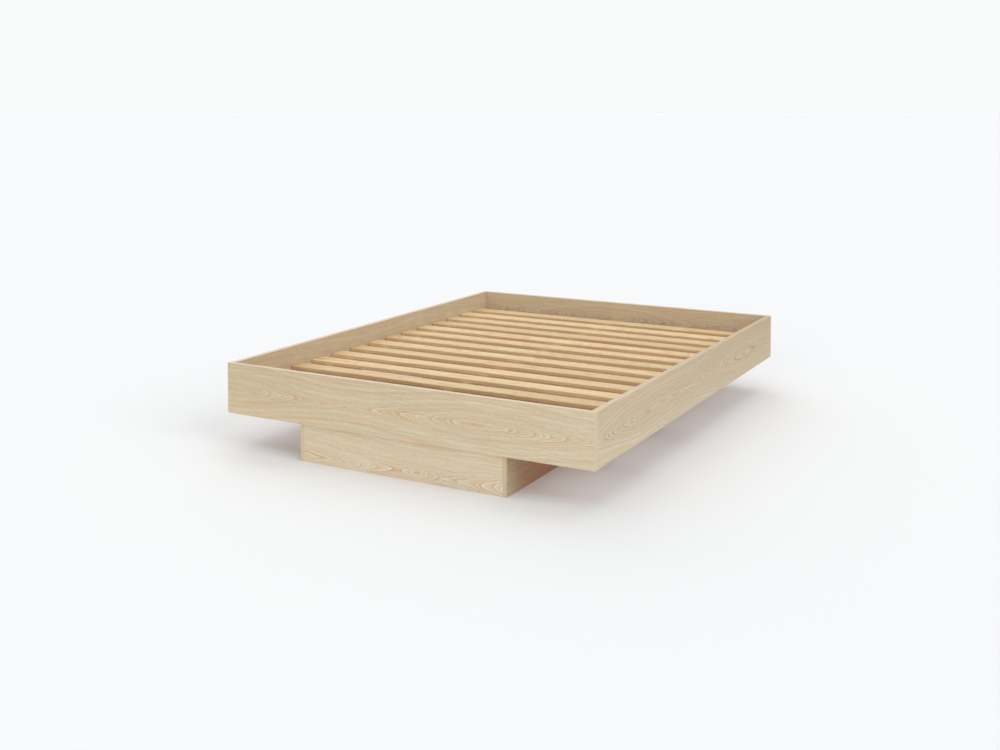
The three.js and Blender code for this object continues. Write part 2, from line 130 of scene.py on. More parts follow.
class Sheet:
    """A node tree with short calls for adding its nodes and joining them."""

    def __init__(self, tree: NodeTree) -> None:
        """Takes the tree to draw on."""
        self.tree = tree

    def feed(self, socket: NodeSocket, value: Any) -> None:
        """Links a socket to another one, or sets it to a constant."""
        if isinstance(value, NodeSocket):
            self.tree.links.new(value, socket)
        else:
            socket.default_value = value

    def add(self, kind: str, inputs: dict[str | int, Any] | None = None, **settings: Any) -> Node:
        """Adds a node.

        Args:
            kind: The node's type name.
            inputs: What goes into its inputs, by name or number.
            settings: Values for the node's own properties.

        Returns:
            The new node.
        """
        node = self.tree.nodes.new(kind)
        for name, value in settings.items():
            setattr(node, name, value)
        for key, value in (inputs or {}).items():
            self.feed(node.inputs[key], value)
        return node

    def get(self, kind: str, inputs: dict[str | int, Any] | None = None, output: str | int = 0,
            **settings: Any) -> NodeSocket:
        """Adds a node as add does, and returns one of its outputs."""
        return self.add(kind, inputs, **settings).outputs[output]

    def math(self, operation: str, *values: Any, clamp: bool = False) -> NodeSocket:
        """Adds a Math node on up to three values and returns its result."""
        return self.get("ShaderNodeMath", dict(enumerate(values)), operation=operation, use_clamp=clamp)

    def plus(self, *values: Any) -> NodeSocket:
        """Adds values up."""
        return reduce(lambda one, other: self.math("ADD", one, other), values)

    def times(self, *values: Any) -> NodeSocket:
        """Multiplies values."""
        return reduce(lambda one, other: self.math("MULTIPLY", one, other), values)

    def line(self, value: Any, slope: Any, start: Any) -> NodeSocket:
        """Multiplies a value by the slope and adds the start."""
        return self.math("MULTIPLY_ADD", value, slope, start)

    def vector(self, *values: Any) -> NodeSocket:
        """Joins three numbers into a vector."""
        return self.get("ShaderNodeCombineXYZ", dict(enumerate(values)))

    def split(self, vector: Any) -> list[NodeSocket]:
        """Splits a vector into its three numbers."""
        return list(self.add("ShaderNodeSeparateXYZ", {0: vector}).outputs)

    def vectors(self, operation: str, first: Any, second: Any) -> NodeSocket:
        """Adds a Vector Math node on two vectors, axis by axis."""
        return self.get("ShaderNodeVectorMath", {0: first, 1: second}, operation=operation)

    def noise(self, place: Any, cells: tuple[float, float, float], seed: Any, detail: float = 2.0,
              roughness: float = 0.5) -> NodeSocket:
        """Adds a noise from 0 to 1.

        Args:
            place: Where to read the noise.
            cells: About how many cells it has to a unit of place, along each axis.
            seed: A number that picks another noise.
            detail: How many finer layers it has.
            roughness: How strong the finer layers are.

        Returns:
            The noise's value.
        """
        inputs = {"Vector": self.vectors("MULTIPLY", place, cells), "W": seed, "Scale": 1.0,
                  "Detail": detail, "Roughness": roughness}
        return self.get("ShaderNodeTexNoise", inputs, "Fac", noise_dimensions="4D")

    def around_zero(self, value: Any, reach: Any) -> NodeSocket:
        """Turns a value from 0 to 1 into one from -reach to reach."""
        return self.times(self.line(value, 2.0, -1.0), reach)

    def between(self, value: Any, low: float, high: float, kind: str = "SMOOTHSTEP") -> NodeSocket:
        """Maps low to 0 and high to 1, clamped, with a soft start and end unless kind says LINEAR."""
        inputs = {"Value": value, "From Min": low, "From Max": high}
        return self.get("ShaderNodeMapRange", inputs, "Result", interpolation_type=kind)

    def ramp(self, value: Any, stops: Stops) -> NodeSocket:
        """Adds a colour ramp.

        Args:
            value: The number that picks the colour.
            stops: Places from 0 to 1, each with its hex colour.

        Returns:
            The picked colour.
        """
        node = self.add("ShaderNodeValToRGB", {0: value})
        elements = node.color_ramp.elements
        while len(elements) < len(stops):
            elements.new(1.0)
        for element, (place, code) in zip(elements, stops):
            element.position = place
            element.color = tint(code)
        return node.outputs["Color"]

    def blend(self, share: Any, first: Any, second: Any, mode: str = "MIX") -> NodeSocket:
        """Mixes a share of the second colour into the first."""
        inputs = {0: share, 6: first, 7: second}
        return self.get("ShaderNodeMix", inputs, 2, data_type="RGBA", blend_type=mode)

    def mark(self, name: str, output: str = "Fac") -> NodeSocket:
        """Reads one of the mesh's own attributes in a shader."""
        return self.get("ShaderNodeAttribute", None, output, attribute_name=name)

    def place(self) -> NodeSocket:
        """Reads Object coordinates."""
        return self.get("ShaderNodeTexCoord", None, "Object")

    def use(self, group: NodeTree, **values: Any) -> Any:
        """Places a shader group.

        Args:
            group: The group's tree.
            values: What goes into each input, with _ for a space in its name.

        Returns:
            The group's outputs.
        """
        node = self.add("ShaderNodeGroup", node_tree=group)
        for name, value in values.items():
            self.feed(node.inputs[name.replace("_", " ")], value)
        return node.outputs

    def recall(self, name: str, kind: str) -> NodeSocket:
        """Reads a named attribute in a Geometry Nodes tree."""
        return self.get("GeometryNodeInputNamedAttribute", {"Name": name}, data_type=kind)

    def store(self, geometry: NodeSocket, name: str, value: NodeSocket, kind: str = "FLOAT_VECTOR",
              domain: str = "POINT") -> NodeSocket:
        """Writes a named attribute in a Geometry Nodes tree and returns the geometry."""
        inputs = {"Geometry": geometry, "Name": name, "Value": value}
        return self.get("GeometryNodeStoreNamedAttribute", inputs, data_type=kind, domain=domain)


SOCKETS = {float: "NodeSocketFloat", int: "NodeSocketInt", tuple: "NodeSocketVector"}


def new_group(name: str, kind: str, takes: dict[str, Any], *gives: str) -> tuple[Sheet, Any, Any]:
    """Makes an empty node group.

    Args:
        name: The group's name.
        kind: Shader or Geometry.
        takes: Each input's name, with its default value, or its socket type where it has none.
        gives: The outputs' names. A shader group's are numbers.

    Returns:
        The sheet to draw on, the input node's outputs and the output node's inputs.
    """
    tree = bpy.data.node_groups.new(name, f"{kind}NodeTree")
    for label, default in takes.items():
        socket_type = default if isinstance(default, str) else SOCKETS[type(default)]
        socket = tree.interface.new_socket(label, in_out="INPUT", socket_type=socket_type)
        if socket_type != default:
            socket.default_value = default
    output_type = "NodeSocketFloat" if kind == "Shader" else "NodeSocketGeometry"
    for label in gives:
        tree.interface.new_socket(label, in_out="OUTPUT", socket_type=output_type)
    sheet = Sheet(tree)
    return sheet, sheet.add("NodeGroupInput").outputs, sheet.add("NodeGroupOutput").inputs


# Shader effects that several finishes share


class Effects:
    """The shader node groups, each built once."""

    def __init__(self) -> None:
        """Builds all the groups."""
        self.rings = self._rings()
        self.pores = self._pores()
        self.clouds = self._clouds()
        self.scuffs = self._scuffs()

    @staticmethod
    def _rings() -> NodeTree:
        """Growth rings as a flat cut shows them: nested arches and loops about a wandering line.

        The cut runs a little askew to the log, so that it passes through the rings one by one. A
        ring's line shows where the way to the log's middle is a whole number of ring widths.

        Returns:
            A group that gives each point's place in its ring, how clear the ring is, the tone that
            a few years share, and the knot's heart, all from 0 to 1.
        """
        sheet, takes, gives = new_group(
            "growth_rings", "Shader",
            {"Grain": (0.0, 0.0, 0.0), "Leaf": 0.0, "Cut": (0.026, 0.022, 0.0), "Wave": 1.15,
             "Ring Width": 0.0036, "Wander": 0.007, "Bow": 0.012, "Jitter": 0.0008,
             "Knot Leaf": -1.0, "Knot Place": (0.0, 0.0, 0.0), "Knot Lift": 0.03},
            "Place", "Force", "Years", "Knot")
        grain, leaf, jitter = takes["Grain"], takes["Leaf"], takes["Jitter"]
        along, across, through = sheet.split(grain)
        blunt, swing, slope = sheet.split(takes["Cut"])
        wander = sheet.noise(grain, (6.0, 0.0, 0.0), leaf)
        bow = sheet.noise(grain, (2.3, 3.0, 0.0), sheet.plus(leaf, 40.0), 3.0)
        turn = sheet.math("DIVIDE", sheet.times(along, math.tau), takes["Wave"])
        dip = sheet.times(sheet.math("COSINE", turn), swing)
        taper = sheet.math("SUBTRACT", sheet.line(along, slope, through), dip)
        taper = sheet.plus(taper, sheet.around_zero(wander, takes["Wander"]))
        height = sheet.plus(across, sheet.around_zero(bow, takes["Bow"]))
        spread = sheet.math("SQRT", sheet.plus(sheet.times(height, height), sheet.times(blunt, blunt)))
        fine = sheet.noise(grain, (45.0, 260.0, 260.0), leaf, 2.0, 0.6)
        broad = sheet.noise(grain, (9.0, 50.0, 50.0), leaf, 1.0)
        radius = sheet.plus(spread, taper, sheet.around_zero(fine, jitter),
                            sheet.around_zero(broad, sheet.times(jitter, 2.4)))

        # A knot pushes the rings aside in a small oval.
        off_knot = sheet.vectors("SUBTRACT", grain, takes["Knot Place"])
        off_knot = sheet.vectors("MULTIPLY", off_knot, (11.0, 26.0, 0.0))
        reach = sheet.get("ShaderNodeVectorMath", {0: off_knot}, "Value", operation="LENGTH")
        here = sheet.math("COMPARE", leaf, takes["Knot Leaf"], 0.25)
        bulge = sheet.times(sheet.math("EXPONENT", sheet.times(reach, -1.6)), here)
        radius = sheet.math("SUBTRACT", radius, sheet.times(bulge, takes["Knot Lift"]))

        turns = sheet.math("DIVIDE", radius, takes["Ring Width"])
        uneven = sheet.noise(sheet.vector(turns, 0.0, 0.0), (0.45, 0.0, 0.0), leaf, 1.0)
        turns = sheet.plus(turns, sheet.around_zero(uneven, 1.1))
        by_turn = sheet.vector(turns, 0.0, 0.0)
        years = sheet.noise(by_turn, (0.3, 0.0, 0.0), leaf, 1.0)
        force = sheet.noise(by_turn, (0.9, 0.0, 0.0), sheet.plus(leaf, 20.0), 0.0)
        sheet.feed(gives["Place"], sheet.math("FRACT", turns))
        sheet.feed(gives["Force"], sheet.between(force, 0.3, 0.66))
        sheet.feed(gives["Years"], sheet.between(years, 0.3, 0.7))
        sheet.feed(gives["Knot"], sheet.between(bulge, 0.62, 0.95))
        return sheet.tree

    @staticmethod
    def _pores() -> NodeTree:
        """Short fine dashes along the grain.

        Returns:
            A group that gives a mask of the dashes.
        """
        sheet, takes, gives = new_group(
            "pore_dashes", "Shader", {"Grain": (0.0, 0.0, 0.0), "Leaf": 0.0, "Cover": 0.5}, "Mask")
        dashes = sheet.noise(takes["Grain"], (90.0, 1500.0, 1500.0), takes["Leaf"], 2.0, 0.55)
        floor = sheet.math("SUBTRACT", 0.78, sheet.times(takes["Cover"], 0.3))
        dashes = sheet.math("MULTIPLY", sheet.math("SUBTRACT", dashes, floor), 9.0, clamp=True)
        sheet.feed(gives["Mask"], dashes)
        return sheet.tree

    @staticmethod
    def _clouds() -> NodeTree:
        """Broad, long drifts of tone along a board, finer streaks, and short flecks.

        Returns:
            A group that gives all three as values from 0 to 1.
        """
        sheet, takes, gives = new_group(
            "tone_drift", "Shader", {"Grain": (0.0, 0.0, 0.0), "Leaf": 0.0}, "Drift", "Streak", "Fleck")
        grain, leaf = takes["Grain"], takes["Leaf"]
        drift = sheet.noise(grain, (2.4, 26.0, 26.0), leaf)
        streak = sheet.noise(grain, (7.0, 230.0, 230.0), leaf, 3.0, 0.6)
        fleck = sheet.noise(grain, (110.0, 330.0, 330.0), leaf, 3.0, 0.7)
        sheet.feed(gives["Drift"], sheet.between(drift, 0.3, 0.7))
        sheet.feed(gives["Streak"], sheet.between(streak, 0.32, 0.68))
        sheet.feed(gives["Fleck"], sheet.between(fleck, 0.3, 0.7, "LINEAR"))
        return sheet.tree

    @staticmethod
    def _scuffs() -> NodeTree:
        """Handling marks: fine scratches in two directions, and faint smears.

        Returns:
            A group that gives both as masks.
        """
        sheet, takes, gives = new_group(
            "handling_marks", "Shader", {"Place": (0.0, 0.0, 0.0)}, "Scratch", "Smear")
        one = sheet.noise(takes["Place"], (40.0, 1300.0, 700.0), 3.0, 1.0)
        two = sheet.noise(takes["Place"], (1100.0, 60.0, 900.0), 5.0, 1.0)
        smear = sheet.noise(takes["Place"], (30.0, 30.0, 30.0), 7.0, 3.0)
        scratch = sheet.math("MAXIMUM", sheet.between(one, 0.66, 0.74), sheet.between(two, 0.68, 0.76))
        sheet.feed(gives["Scratch"], scratch)
        sheet.feed(gives["Smear"], sheet.between(smear, 0.35, 0.7))
        return sheet.tree


# Finishes


@dataclass(frozen=True)
class Finish:
    """What every finish has: its slot, its roughness and how metallic it is."""

    slot: Slot
    roughness: float
    metallic: float = 0.0

    def make(self, effects: Effects) -> Material:
        """Builds the material.

        Args:
            effects: The shared shader groups.

        Returns:
            The finished material.
        """
        material = bpy.data.materials.new(self.slot.value)
        material.use_nodes = True
        shader = material.node_tree.nodes["Principled BSDF"]
        shader.inputs["Roughness"].default_value = self.roughness
        shader.inputs["Metallic"].default_value = self.metallic
        self.dress(Sheet(material.node_tree), shader.inputs, effects)
        return material

    def dress(self, sheet: Sheet, shader: Any, effects: Effects) -> None:
        """Draws the finish's own nodes.

        Args:
            sheet: The material's sheet.
            shader: The Principled shader's inputs.
            effects: The shared shader groups.
        """
        raise NotImplementedError

    @staticmethod
    def emboss(sheet: Sheet, shader: Any, height: Any, depth: float, strength: float) -> None:
        """Feeds a height to the shader's normal through a Bump node.

        Args:
            sheet: The material's sheet.
            shader: The Principled shader's inputs.
            height: The height, from 0 to 1.
            depth: How deep a height of 1 is, in metres.
            strength: The Bump node's strength.
        """
        inputs = {"Strength": strength, "Distance": depth, "Height": height}
        sheet.feed(shader["Normal"], sheet.get("ShaderNodeBump", inputs))


@dataclass(frozen=True)
class Knot:
    """A knot in one board: the board's leaf, and its place along and across it."""

    leaf: float
    along: float
    across: float
    lift: float = 0.03


@dataclass(frozen=True)
class Wood(Finish):
    """Sawn or sliced wood. Its colours run through one ring, from the dark line to the pale one.

    The drifts of tone lean to warm, and the rest leans to cool. bow is how far the rings' middle line
    strays across a board, jitter how ragged they are, and years how much darker some years are. With
    by_attribute it reads the board's own attributes, and without it Object coordinates.
    """

    ring: Stops = ()
    plain: Stops = ()
    warm: str = "C99F80"
    cool: str = "A3A494"
    pore: str = "9A7B57"
    edge: str = "CBAF92"
    ring_width: float = 0.0040
    bow: float = 0.012
    jitter: float = 0.0012
    years: float = 0.34
    fleck: float = 0.18
    drift: float = 0.25
    pore_cover: float = 0.5
    pore_depth: float = 0.00006
    pore_dark: float = 0.34
    pore_rough: float = 0.16
    streak_rough: float = 0.07
    # How far the eased edges are paled toward white: painted highlight and wear.
    edge_wear_and_highlight: float = 0.08
    knot: Knot = Knot(-1.0, 0.0, 0.0)
    by_attribute: bool = True

    def dress(self, sheet: Sheet, shader: Any, effects: Effects) -> None:
        """Draws the wood.

        Args:
            sheet: The material's sheet.
            shader: The Principled shader's inputs.
            effects: The shared shader groups.
        """
        if self.by_attribute:
            grain, cut = sheet.mark("grain", "Vector"), sheet.mark("cut", "Vector")
            leaf, (tone, figure, _) = sheet.mark("leaf"), sheet.split(sheet.mark("look", "Vector"))
        else:
            grain, cut = sheet.place(), (0.02, 0.0, 0.0)
            leaf, tone, figure = 5.0, 1.0, 0.6
        knot = self.knot
        rings = sheet.use(effects.rings, Grain=grain, Leaf=leaf, Cut=cut, Ring_Width=self.ring_width,
                          Bow=self.bow, Jitter=self.jitter, Knot_Leaf=knot.leaf,
                          Knot_Place=(knot.along, knot.across, 0.0), Knot_Lift=knot.lift)
        clouds = sheet.use(effects.clouds, Grain=grain, Leaf=leaf)
        pores = sheet.use(effects.pores, Grain=grain, Leaf=leaf, Cover=self.pore_cover)["Mask"]

        # The face: rings over a plain ground, strongest along the board's heart.
        ground = sheet.ramp(clouds["Streak"], self.plain)
        figured = sheet.ramp(rings["Place"], self.ring)
        patch = sheet.noise(grain, (3.0, 14.0, 14.0), sheet.plus(leaf, 9.0), 1.0)
        heart = sheet.between(sheet.math("ABSOLUTE", sheet.split(grain)[1]), 0.085, 0.02)
        strength = sheet.times(sheet.between(patch, 0.15, 0.6), figure,
                               sheet.line(rings["Force"], 0.65, 0.35), sheet.line(heart, 0.55, 0.45))
        face = sheet.blend(strength, ground, figured)
        dark = tint(self.ring[0][1])
        face = sheet.blend(sheet.times(rings["Years"], self.years), face, dark)
        face = sheet.blend(sheet.times(rings["Knot"], 0.6), face, dark)

        # The edge band: the plain ground alone, a little warmer.
        edge = sheet.blend(0.4, ground, tint(self.edge))
        colour = sheet.blend(sheet.mark("band"), face, edge)

        warm = sheet.times(clouds["Drift"], self.drift)
        colour = sheet.blend(warm, colour, tint(self.warm), "SOFT_LIGHT")
        cool = sheet.times(sheet.math("SUBTRACT", 1.0, clouds["Drift"]), self.drift)
        colour = sheet.blend(cool, colour, tint(self.cool), "SOFT_LIGHT")
        fleck = sheet.line(clouds["Fleck"], self.fleck, 1.0 - self.fleck / 2)
        # A darker board is also a warmer one, and so is a board darkened as painted shade.
        shares = (sheet.times(sheet.math("POWER", tone, power), fleck) for power in (1.0, 1.3, 1.8))
        colour = sheet.blend(1.0, colour, sheet.vector(*shares), "MULTIPLY")
        colour = sheet.blend(sheet.times(pores, self.pore_dark), colour, tint(self.pore))
        # Painted highlight and wear: the eased edges' faces are mixed toward a colour halfway to white.
        edge_wear_and_highlight = sheet.times(sheet.mark("arris"), self.edge_wear_and_highlight)
        colour = sheet.blend(edge_wear_and_highlight, colour, sheet.blend(0.5, colour, WHITE))
        sheet.feed(shader["Base Color"], colour)

        rough = sheet.line(pores, self.pore_rough, self.roughness)
        sheet.feed(shader["Roughness"], sheet.line(clouds["Streak"], self.streak_rough, rough))
        height = sheet.math("SUBTRACT", sheet.times(clouds["Streak"], 0.35), pores)
        self.emboss(sheet, shader, height, self.pore_depth, 0.6)


@dataclass(frozen=True)
class Metal(Finish):
    """Plated or blackened steel."""

    colour: str = "B9BCBE"
    smear: str = "A3AAAC"

    def dress(self, sheet: Sheet, shader: Any, effects: Effects) -> None:
        """Draws the metal.

        Args:
            sheet: The material's sheet.
            shader: The Principled shader's inputs.
            effects: The shared shader groups.
        """
        marks = sheet.use(effects.scuffs, Place=sheet.place())
        colour = sheet.blend(marks["Smear"], tint(self.colour), tint(self.smear))
        bright = sheet.times(marks["Scratch"], 0.3)
        sheet.feed(shader["Base Color"], sheet.blend(bright, colour, (0.85, 0.85, 0.85, 1)))
        sheet.feed(shader["Roughness"], sheet.line(marks["Smear"], 0.14, self.roughness))
        self.emboss(sheet, shader, marks["Scratch"], 0.00003, 0.5)


@dataclass(frozen=True)
class Webbing(Finish):
    """Woven tape in two yarns."""

    colour: str = "E9E6DC"
    shade: str = "C9C4B4"
    yarns_per_metre: float = 900.0

    def dress(self, sheet: Sheet, shader: Any, effects: Effects) -> None:
        """Draws the weave.

        Args:
            sheet: The material's sheet.
            shader: The Principled shader's inputs.
            effects: The shared shader groups.
        """
        place = sheet.place()
        turns = (self.yarns_per_metre * math.pi,) * 3
        x, y, _ = sheet.split(sheet.vectors("MULTIPLY", place, turns))
        weave = sheet.line(sheet.times(sheet.math("SINE", x), sheet.math("SINE", y)), 0.5, 0.5)
        smear = sheet.use(effects.scuffs, Place=place)["Smear"]
        share = sheet.line(smear, 0.3, sheet.times(weave, 0.6))
        sheet.feed(shader["Base Color"], sheet.blend(share, tint(self.shade), tint(self.colour)))
        self.emboss(sheet, shader, weave, 0.0004, 0.8)


PLINTH_FRONT_LEAF = 6.0

FINISHES: tuple[Finish, ...] = (
    Wood(
        Slot.OAK, 0.5,
        ring=((0.0, "B8936F"), (0.2, "C2A585"), (0.45, "C9BCA1"), (0.74, "CDC8B1"),
              (0.88, "D6D8CA"), (1.0, "C0A283")),
        plain=((0.0, "C6B393"), (0.5, "CABFA4"), (1.0, "CFCAB4")),
        knot=Knot(PLINTH_FRONT_LEAF, 0.515, 0.003),
    ),
    Wood(
        Slot.PINE, 0.62,
        ring=((0.0, "B98F60"), (0.12, "C6A475"), (0.4, "D6BF98"), (0.86, "DCCAA8"), (1.0, "C8A87A")),
        plain=((0.0, "D0B68B"), (0.5, "D6C29B"), (1.0, "DCCDAD")),
        warm="C9966A", cool="A3A484", pore="B08A5C",
        ring_width=0.0065, bow=0.01, jitter=0.0005, drift=0.4, pore_cover=0.25, pore_depth=0.00008,
    ),
    Wood(
        Slot.BEECH, 0.6,
        ring=((0.0, "C08F64"), (0.5, "D0A67A"), (1.0, "D8B189")),
        plain=((0.0, "C79A6E"), (1.0, "D6AE84")),
        warm="C98C5C", cool="D8C29B", pore="94663E",
        ring_width=0.002, by_attribute=False,
    ),
    Metal(Slot.ZINC, 0.34, 1.0),
    Metal(Slot.BLACK, 0.42, 1.0, "3A3B3D", "2C2D2F"),
    Webbing(Slot.TAPE, 0.85),
)


# Mesh tools


def link(data: Any, name: str) -> Object:
    """Puts a mesh, light or camera into the scene as an object at the origin."""
    piece = bpy.data.objects.new(name, data)
    bpy.context.scene.collection.objects.link(piece)
    return piece


def deliver(piece: Object, slot: Slot, paints: Paints, *nodes: str) -> None:
    """Hands a finished piece to the frame.

    Args:
        piece: The finished mesh object.
        slot: The finish's slot.
        paints: The materials.
        nodes: The CAD nodes that it stands for.
    """
    if not piece.data.materials:
        piece.data.materials.append(paints[slot])
    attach(piece, "root")
    if nodes:
        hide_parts(*nodes)
    log.info("%s: %d faces, stands for %d nodes", piece.name, len(piece.data.polygons), len(nodes))


def to_mesh(bm: bmesh.types.BMesh, name: str) -> Mesh:
    """Turns a bmesh into a mesh and frees it.

    Args:
        bm: The bmesh.
        name: The mesh's name.

    Returns:
        The mesh.
    """
    mesh = bpy.data.meshes.new(name)
    bm.to_mesh(mesh)
    bm.free()
    return mesh


def add_box(bm: bmesh.types.BMesh, middle: Vector, size: Vector, turn: float = 0.0) -> None:
    """Adds a box to a bmesh, turned about Z."""
    place = Matrix.Translation(middle) @ Matrix.Rotation(turn, 4, "Z")
    bmesh.ops.create_cube(bm, size=1.0, matrix=place @ Matrix.Diagonal((*size, 1)))


def vectors_of(items: Any, name: str) -> np.ndarray:
    """Reads one vector for each of a mesh's vertices or faces."""
    values = np.empty(len(items) * 3, np.float32)
    items.foreach_get(name, values)
    return values.reshape(-1, 3)


def write_mark(mesh: Mesh, name: str, values: Any, domain: str = "POINT") -> None:
    """Writes one number or vector for each of a mesh's vertices or faces."""
    values = np.asarray(values, np.float32)
    kind, key = ("FLOAT", "value") if values.ndim == 1 else ("FLOAT_VECTOR", "vector")
    mesh.attributes.new(name, kind, domain).data.foreach_set(key, values.ravel())


def smooth_rounds(mesh: Mesh) -> np.ndarray:
    """Shades only the rounded edges smooth, so that the flat faces stay flat.

    Args:
        mesh: A mesh whose flat faces are square to the axes.

    Returns:
        For each face, whether it belongs to a rounded edge.
    """
    rounded = np.abs(vectors_of(mesh.polygons, "normal")).max(axis=1) < 0.999
    mesh.polygons.foreach_set("use_smooth", rounded)
    return rounded


def bake_modifiers(piece: Object) -> None:
    """Turns an object's modifiers into plain mesh, and drops its empty material slots.

    Args:
        piece: The object.
    """
    graph = bpy.context.evaluated_depsgraph_get()
    graph.update()
    mesh = bpy.data.meshes.new_from_object(piece.evaluated_get(graph), preserve_all_data_layers=True,
                                           depsgraph=graph)
    piece.modifiers.clear()
    piece.data = mesh
    mesh.name = piece.name
    painted = [material for material in mesh.materials if material]
    mesh.materials.clear()
    for material in painted:
        mesh.materials.append(material)
    mesh.polygons.foreach_set("material_index", [0] * len(mesh.polygons))


@dataclass(frozen=True)
class Leaf:
    """Where in the log a board was cut. Lengths are in metres.

    Attributes:
        number: Picks the board's own drift, wander and bow.
        pith: How far the pith lies above the board's middle.
        blunt: How round the arches' tips are.
        swing: How far the cut dips into the rings and out again, once in each wave.
        slope: How far it runs out through the rings for each metre of the board.
        lead: How far along the log the board starts.
        turned: Whether the board is turned end for end.
        tone: How pale the board is beside the others; on the right plinth side it is lowered as painted
            shade.
        fade: How much paler it gets from its one end to the other, and from its one edge to the other,
            as painted light falloff.
        figure: How clear its rings are.
    """

    number: float
    pith: float = 0.0
    blunt: float = 0.026
    swing: float = 0.024
    slope: float = 0.0
    lead: float = 0.0
    turned: bool = False
    tone: float = 1.0
    fade: tuple[float, float] = (0.0, 0.0)
    figure: float = 1.0


@dataclass
class Board:
    """A board with eased edges that fills its CAD node's box.

    Attributes:
        node: The CAD node that it stands for.
        leaf: Where in the log it was cut.
        slot: Its finish.
        arris: Radius of its eased edges, in metres.
        banded: Whether its narrow faces have a plain edge band.
    """

    node: str
    leaf: Leaf
    slot: Slot = Slot.OAK
    arris: float = 0.7 * MM
    banded: bool = True

    def build(self, paints: Paints) -> None:
        """Builds the board and hands it over.

        Args:
            paints: The materials.
        """
        low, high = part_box(self.node)
        bm = bmesh.new()
        bmesh.ops.create_cube(bm, size=1.0)
        bmesh.ops.scale(bm, vec=high - low, verts=bm.verts)
        bmesh.ops.translate(bm, vec=(low + high) / 2, verts=bm.verts)
        bmesh.ops.bevel(bm, geom=bm.edges[:], offset=self.arris, segments=3, profile=0.5,
                        affect="EDGES", clamp_overlap=True)
        mesh = to_mesh(bm, self.node)
        self._mark(mesh, np.array(low), np.array(high))
        deliver(link(mesh, f"{self.slot.value}_{self.node}"), self.slot, paints, self.node)

    def _mark(self, mesh: Mesh, low: np.ndarray, high: np.ndarray) -> None:
        """Writes the attributes that the wood finishes read.

        Args:
            mesh: The board's mesh.
            low: The board's lowest corner.
            high: The board's highest corner.
        """
        leaf, size, middle = self.leaf, high - low, (low + high) / 2
        through, across, along = np.argsort(size, kind="stable")
        places = vectors_of(mesh.vertices, "co")
        ones = np.ones(len(places))
        run = places[:, along] - low[along]
        if leaf.turned:
            run = size[along] - run
        write_mark(mesh, "grain", np.stack([
            run + leaf.lead, places[:, across] - middle[across] - leaf.pith,
            places[:, through] - middle[through]], axis=1))
        write_mark(mesh, "cut", np.outer(ones, (leaf.blunt, leaf.swing, leaf.slope)))
        write_mark(mesh, "leaf", ones * leaf.number)
        share = (places - middle) / size
        # The falloff added to the board's tone here is painted light falloff.
        tone = leaf.tone + share[:, along] * leaf.fade[0] + share[:, across] * leaf.fade[1]
        write_mark(mesh, "look", np.stack([tone, ones * leaf.figure, ones * 0.0], axis=1))
        on_face = np.abs(vectors_of(mesh.polygons, "normal"))[:, through] > 0.5
        write_mark(mesh, "band", ~on_face & self.banded, "FACE")
        # The arris mark picks the eased edges, which the wood finish pales as painted highlight and
        # wear.
        write_mark(mesh, "arris", smooth_rounds(mesh), "FACE")


def dressed_copy(node: str, prefix: str, edge: float, paints: Paints) -> None:
    """Copies a steel CAD node, closes its mesh, eases its edges and hands it over.

    Args:
        node: The CAD node.
        prefix: What the new piece's name starts with.
        edge: Width of its eased edges, in metres.
        paints: The materials.
    """
    bm = bmesh.new()
    bm.from_mesh(NODES[node].data)
    bmesh.ops.remove_doubles(bm, verts=bm.verts, dist=0.01 * MM)
    bmesh.ops.dissolve_limit(bm, angle_limit=math.radians(1.0), verts=bm.verts, edges=bm.edges)
    name = f"{prefix}_{node}"
    piece = link(to_mesh(bm, name), name)
    ease = piece.modifiers.new("ease", "BEVEL")
    ease.width = edge
    ease.segments = 2
    ease.limit_method = "ANGLE"
    ease.angle_limit = math.radians(50)
    bake_modifiers(piece)
    smooth_rounds(piece.data)
    deliver(piece, Slot.ZINC, paints, node)


# Geometry Nodes: the row of slats, and fixings set on points


def run_tree(tree: NodeTree, mesh: Mesh, values: dict[str, Any]) -> Object:
    """Runs a Geometry Nodes tree and keeps its result as plain mesh.

    Args:
        tree: The tree.
        mesh: The mesh that the tree works on, which gives the piece its name.
        values: The tree's inputs, by name. They are set by their sockets' identifiers.

    Returns:
        The piece.
    """
    piece = link(mesh, mesh.name)
    modifier = piece.modifiers.new("build", "NODES")
    modifier.node_group = tree
    for item in tree.interface.items_tree:
        if item.item_type == "SOCKET" and item.in_out == "INPUT" and item.name in values:
            modifier[item.identifier] = values[item.name]
    bake_modifiers(piece)
    return piece


